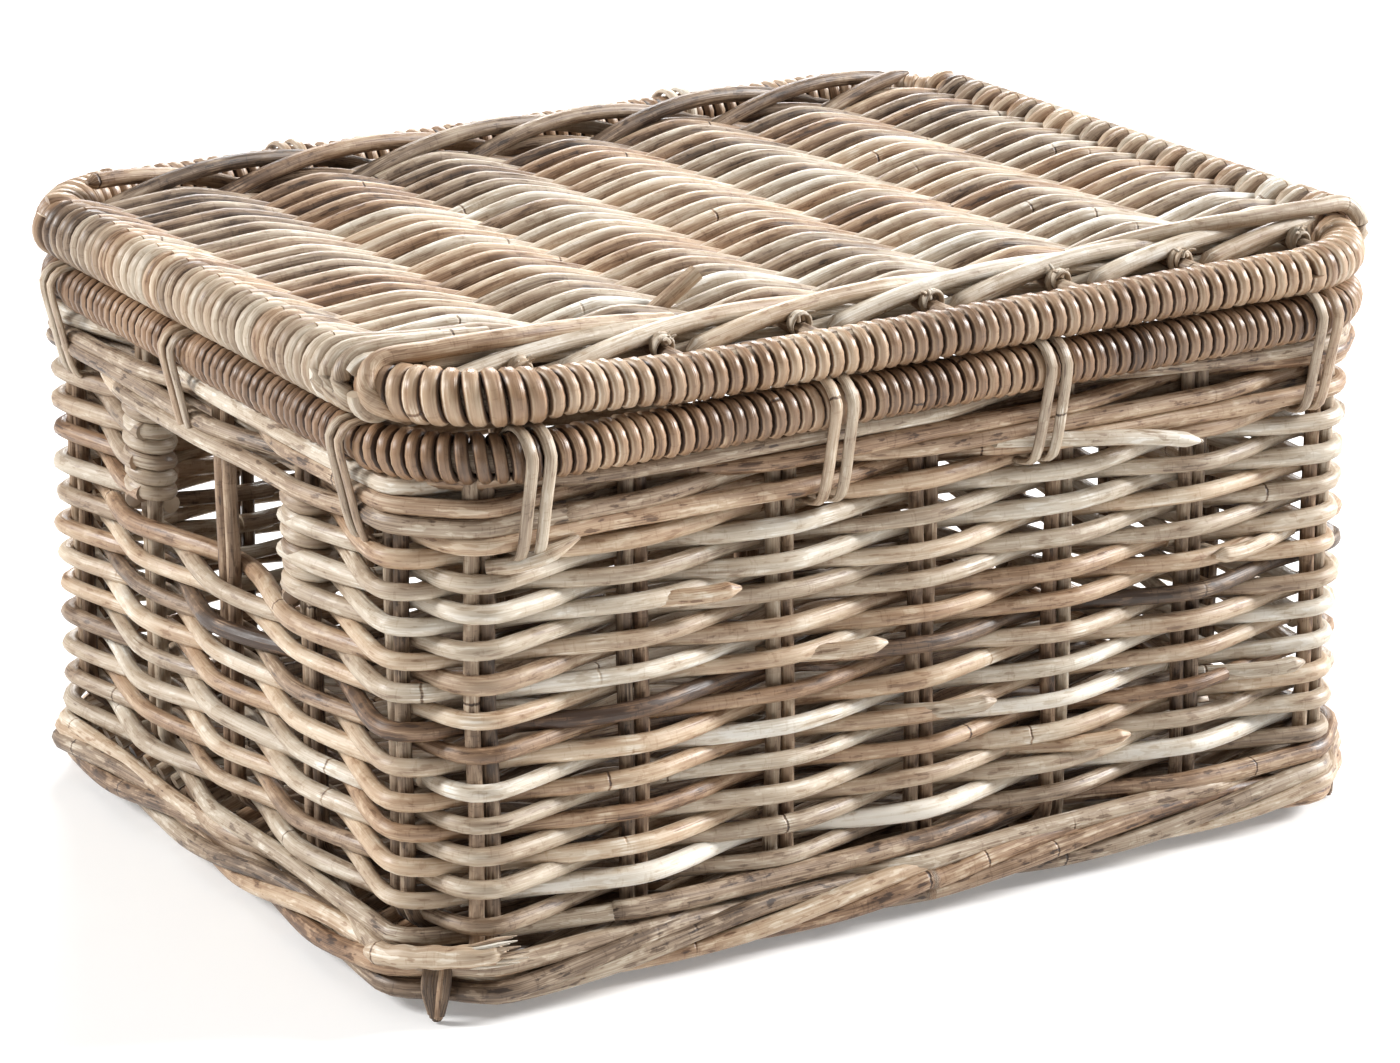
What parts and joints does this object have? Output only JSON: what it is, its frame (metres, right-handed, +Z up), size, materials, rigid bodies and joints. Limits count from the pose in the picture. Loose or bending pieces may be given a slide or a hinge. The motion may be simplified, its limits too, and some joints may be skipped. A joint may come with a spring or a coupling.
{
  "type": "laundry hamper with lid",
  "caption": "Rectangular rattan laundry hamper: plain-woven cane walls on upright stakes, wrapped rim, a handle opening in each end and a woven lid hinged at the back.",
  "frame": {"origin": "middle of the base on the floor: the centre of the bounding box's bottom face", "axes": "+X to the right along the long front wall, +Y to the back where the hinge is, +Z up"},
  "size_m": [0.6328, 0.5152, 0.3432],
  "materials": {
    "wall_cane": "round rattan strands, grey-beige to brown, satin bark with dull worn patches",
    "border_cane": "thick round rattan strands, satin",
    "stake_cane": "round rattan stakes, darker, matt",
    "pole": "bent rattan pole, matt",
    "wrapping_cane": "flat split cane with glossy bark, brown with pale edges",
    "lashing_cane": "round pale cane, satin",
    "lid_cane": "round rattan strands in bands of brown, tan, grey and cream, satin",
    "rope_cane": "two-strand twisted rattan, grey-brown, matt"
  },
  "bodies": {
    "basket": {"wall_weave_front": "wall_cane", "wall_weave_back": "wall_cane", "wall_weave_left": "wall_cane", "wall_weave_right": "wall_cane", "base_weave": "wall_cane", "bottom_border": "border_cane", "top_band": "border_cane", "corner_foot_front_left": "pole", "corner_foot_front_right": "pole", "corner_foot_back_right": "pole", "corner_foot_back_left": "pole", "stake_long_1": "stake_cane", "stake_long_2": "stake_cane", "stake_long_3": "stake_cane", "stake_long_4": "stake_cane", "stake_long_5": "stake_cane", "stake_long_6": "stake_cane", "stake_long_7": "stake_cane", "stake_side_1": "stake_cane", "stake_side_2": "stake_cane", "stake_side_3": "stake_cane", "stake_side_4": "stake_cane", "stake_side_5": "stake_cane", "handle_jamb_left_front": "wall_cane", "handle_jamb_left_back": "wall_cane", "handle_jamb_right_front": "wall_cane", "handle_jamb_right_back": "wall_cane", "rim_pole": "pole", "rim_wrap_front": "wrapping_cane", "rim_wrap_back": "wrapping_cane", "lashing_front_1": "lashing_cane", "lashing_front_2": "lashing_cane", "lashing_front_3": "lashing_cane", "lashing_front_4": "lashing_cane", "lashing_back_1": "lashing_cane", "lashing_back_2": "lashing_cane", "lashing_left_1": "lashing_cane", "lashing_left_2": "lashing_cane", "lashing_left_3": "lashing_cane", "lashing_right_1": "lashing_cane", "lashing_right_2": "lashing_cane", "lashing_right_3": "lashing_cane", "hinge_ring_left": "lashing_cane", "hinge_ring_right": "lashing_cane"},
    "lid": {"lid_pole": "pole", "lid_wrap_front": "wrapping_cane", "lid_wrap_back": "wrapping_cane", "lid_edge_left": "lid_cane", "lid_edge_right": "lid_cane", "lid_stake_1": "stake_cane", "lid_stake_2": "stake_cane", "lid_stake_3": "stake_cane", "lid_stake_4": "stake_cane", "lid_stake_5": "stake_cane", "lid_stake_6": "stake_cane", "lid_stake_7": "stake_cane", "lid_weave": "lid_cane", "lid_rope_front": "rope_cane", "lid_rope_back": "rope_cane"}
  },
  "joints": [
    {"name": "lid_hinge", "type": "hinge", "parent": "basket", "child": "lid", "pos_m": [0, 0.2406, 0.326], "axis": [-1, 0, 0], "range_deg": [0, 110]}
  ]
}
